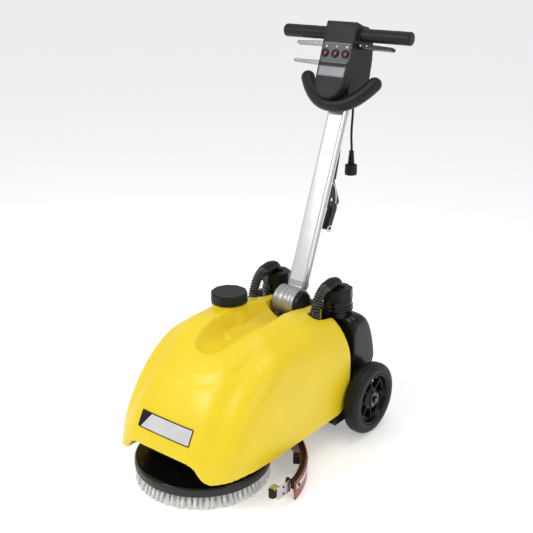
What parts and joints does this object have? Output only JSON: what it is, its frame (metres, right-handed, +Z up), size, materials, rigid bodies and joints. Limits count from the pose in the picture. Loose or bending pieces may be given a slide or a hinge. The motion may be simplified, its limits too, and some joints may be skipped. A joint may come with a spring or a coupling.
{
  "type": "floor scrubber machine",
  "caption": "Walk-behind floor scrubber: round brush under a yellow solution tank, recovery tank between two wheels, curved squeegee, and a folding pole with a switch console and triggers.",
  "frame": {"origin": "on the floor under the middle of the machine's bounding box, measured without the free power lead", "axes": "+Z up, -Y towards the front of the machine (the brush end), +X to the right of someone who stands in front and faces it; left and right in the names are that person's"},
  "size_m": [0.5274, 0.8394, 1.0753],
  "materials": {
    "yellow_polyethylene": "rotomoulded, soft gloss",
    "black_polyethylene": "blow-moulded, semi-gloss",
    "black_abs": "moulded, fine grain",
    "dark_grey_face": "moulded, fine grain",
    "black_foam": "closed-cell foam, matt",
    "black_rubber": "matt",
    "tyre_rubber": "matt, solid tyre",
    "white_nylon": "bristle filaments",
    "red_polyurethane": "smooth, satin",
    "satin_aluminium": "extruded, satin anodised",
    "cast_aluminium": "cast and turned",
    "chrome": "polished",
    "zinc_steel": "zinc plated",
    "black_painted_steel": "powder coat, satin",
    "red_lens": "clear red lens",
    "silver_plate": "silver paint, satin",
    "motor_enamel": "enamel"
  },
  "bodies": {
    "chassis": {"chassis_plate": "black_painted_steel", "rear_frame": "black_painted_steel", "axle": "zinc_steel", "brush_gearbox": "cast_aluminium", "brush_motor": "motor_enamel", "vacuum_motor": "black_abs", "water_valve": "black_abs", "solution_tank": "yellow_polyethylene", "front_plate": "silver_plate", "recovery_tank": "black_polyethylene", "elbow_left": "black_abs", "elbow_right": "black_abs", "hose_left": "black_polyethylene", "hose_right": "black_polyethylene", "suction_sleeve": "black_rubber", "hinge_base": "cast_aluminium", "hinge_bolt": "zinc_steel", "hinge_cover_left": "black_abs", "hinge_cover_right": "black_abs", "lift_cable_lower": "black_rubber"},
    "filler_lid": {"filler_cap": "black_abs"},
    "recovery_lid_left": {"recovery_cap_left": "black_abs"},
    "recovery_lid_right": {"recovery_cap_right": "black_abs"},
    "wheel_left": {"tyre_left": "tyre_rubber", "rim_left": "black_abs"},
    "wheel_right": {"tyre_right": "tyre_rubber", "rim_right": "black_abs"},
    "brush": {"brush_block": "black_abs", "brush_bristles": "white_nylon", "drive_hub": "black_abs"},
    "squeegee": {"squeegee_frame": "black_abs", "blade_front": "red_polyurethane", "blade_rear": "red_polyurethane", "blade_strap": "zinc_steel", "end_plate_left": "zinc_steel", "end_plate_right": "zinc_steel"},
    "guide_roller_left": {"squeegee_roller_left": "black_abs"},
    "guide_roller_right": {"squeegee_roller_right": "black_abs"},
    "handle": {"pole": "satin_aluminium", "pole_clevis": "cast_aluminium", "console_front": "dark_grey_face", "console_rear": "black_abs", "console_plate": "silver_plate", "switch_panel": "silver_plate", "handlebar": "zinc_steel", "grip_left": "black_foam", "grip_right": "black_foam", "bumper_handle": "black_foam", "lift_bracket": "black_painted_steel", "lift_cable_upper": "black_rubber", "cord_gland": "black_rubber", "power_cord": "black_rubber", "cord_connector": "black_abs"},
    "run_trigger_left": {"trigger_left": "zinc_steel"},
    "run_trigger_right": {"trigger_right": "black_abs"},
    "tilt_release": {"tilt_lever": "chrome"},
    "switch_left": {"rocker_left": "red_lens"},
    "switch_middle": {"rocker_middle": "red_lens"},
    "switch_right": {"rocker_right": "red_lens"},
    "squeegee_lever": {"lift_lever": "black_painted_steel"}
  },
  "joints": [
    {"name": "handle_fold", "type": "hinge", "parent": "chassis", "child": "handle", "pos_m": [0, 0.1268, 0.35], "axis": [1, 0, 0], "range_deg": [-35, 109]},
    {"name": "filler_cap_lift", "type": "slide", "parent": "chassis", "child": "filler_lid", "axis": [0, 0, 1], "range_m": [0, 0.08]},
    {"name": "recovery_cap_left_turn", "type": "hinge", "parent": "chassis", "child": "recovery_lid_left", "pos_m": [-0.105, 0.1968, 0.38], "axis": [0, 0, 1], "range_deg": [0, 270]},
    {"name": "wheel_left_roll", "type": "hinge", "parent": "chassis", "child": "wheel_left", "pos_m": [-0.218, 0.1915, 0.1], "axis": [1, 0, 0], "continuous": true},
    {"name": "recovery_cap_right_turn", "type": "hinge", "parent": "chassis", "child": "recovery_lid_right", "pos_m": [0.105, 0.1968, 0.38], "axis": [0, 0, 1], "range_deg": [0, 270]},
    {"name": "wheel_right_roll", "type": "hinge", "parent": "chassis", "child": "wheel_right", "pos_m": [0.218, 0.1915, 0.1], "axis": [1, 0, 0], "continuous": true},
    {"name": "brush_spin", "type": "hinge", "parent": "chassis", "child": "brush", "pos_m": [0, -0.2432, 0.046], "axis": [0, 0, 1], "continuous": true},
    {"name": "squeegee_lift", "type": "hinge", "parent": "chassis", "child": "squeegee", "pos_m": [0, 0.0568, 0.078], "axis": [-1, 0, 0], "range_deg": [0, 5]},
    {"name": "guide_roller_left_roll", "type": "hinge", "parent": "squeegee", "child": "guide_roller_left", "pos_m": [-0.2365, -0.2592, 0.041], "axis": [0, 0, 1], "continuous": true},
    {"name": "guide_roller_right_roll", "type": "hinge", "parent": "squeegee", "child": "guide_roller_right", "pos_m": [0.2365, -0.2592, 0.041], "axis": [0, 0, 1], "continuous": true},
    {"name": "run_trigger_left_swing", "type": "hinge", "parent": "handle", "child": "run_trigger_left", "pos_m": [-0.056, 0.34947, 1.01492], "axis": [0, 0.9317, -0.3633], "range_deg": [0, 5], "stiffness_Nm_per_rad": 0.8, "springref_deg": -8.59},
    {"name": "run_trigger_right_swing", "type": "hinge", "parent": "handle", "child": "run_trigger_right", "pos_m": [0.056, 0.34947, 1.01492], "axis": [0, -0.9317, 0.3633], "range_deg": [0, 5], "stiffness_Nm_per_rad": 0.8, "springref_deg": -8.59},
    {"name": "tilt_release_swing", "type": "hinge", "parent": "handle", "child": "tilt_release", "pos_m": [-0.052, 0.34844, 0.96273], "axis": [0, 0.9317, -0.3633], "range_deg": [0, 10], "stiffness_Nm_per_rad": 0.8, "springref_deg": -8.59},
    {"name": "switch_left_rock", "type": "hinge", "parent": "handle", "child": "switch_left", "pos_m": [-0.032, 0.31735, 0.9931], "axis": [1, 0, 0], "range_deg": [-5, 5]},
    {"name": "switch_middle_rock", "type": "hinge", "parent": "handle", "child": "switch_middle", "pos_m": [0, 0.31735, 0.9931], "axis": [1, 0, 0], "range_deg": [-5, 5]},
    {"name": "switch_right_rock", "type": "hinge", "parent": "handle", "child": "switch_right", "pos_m": [0.032, 0.31735, 0.9931], "axis": [1, 0, 0], "range_deg": [-5, 5]},
    {"name": "squeegee_lever_swing", "type": "hinge", "parent": "handle", "child": "squeegee_lever", "pos_m": [0, 0.28434, 0.60562], "axis": [1, 0, 0], "range_deg": [0, 40]}
  ],
  "couplings": [
    {"joint": "squeegee_lever_swing", "follows": "squeegee_lift", "ratio": 8}
  ]
}
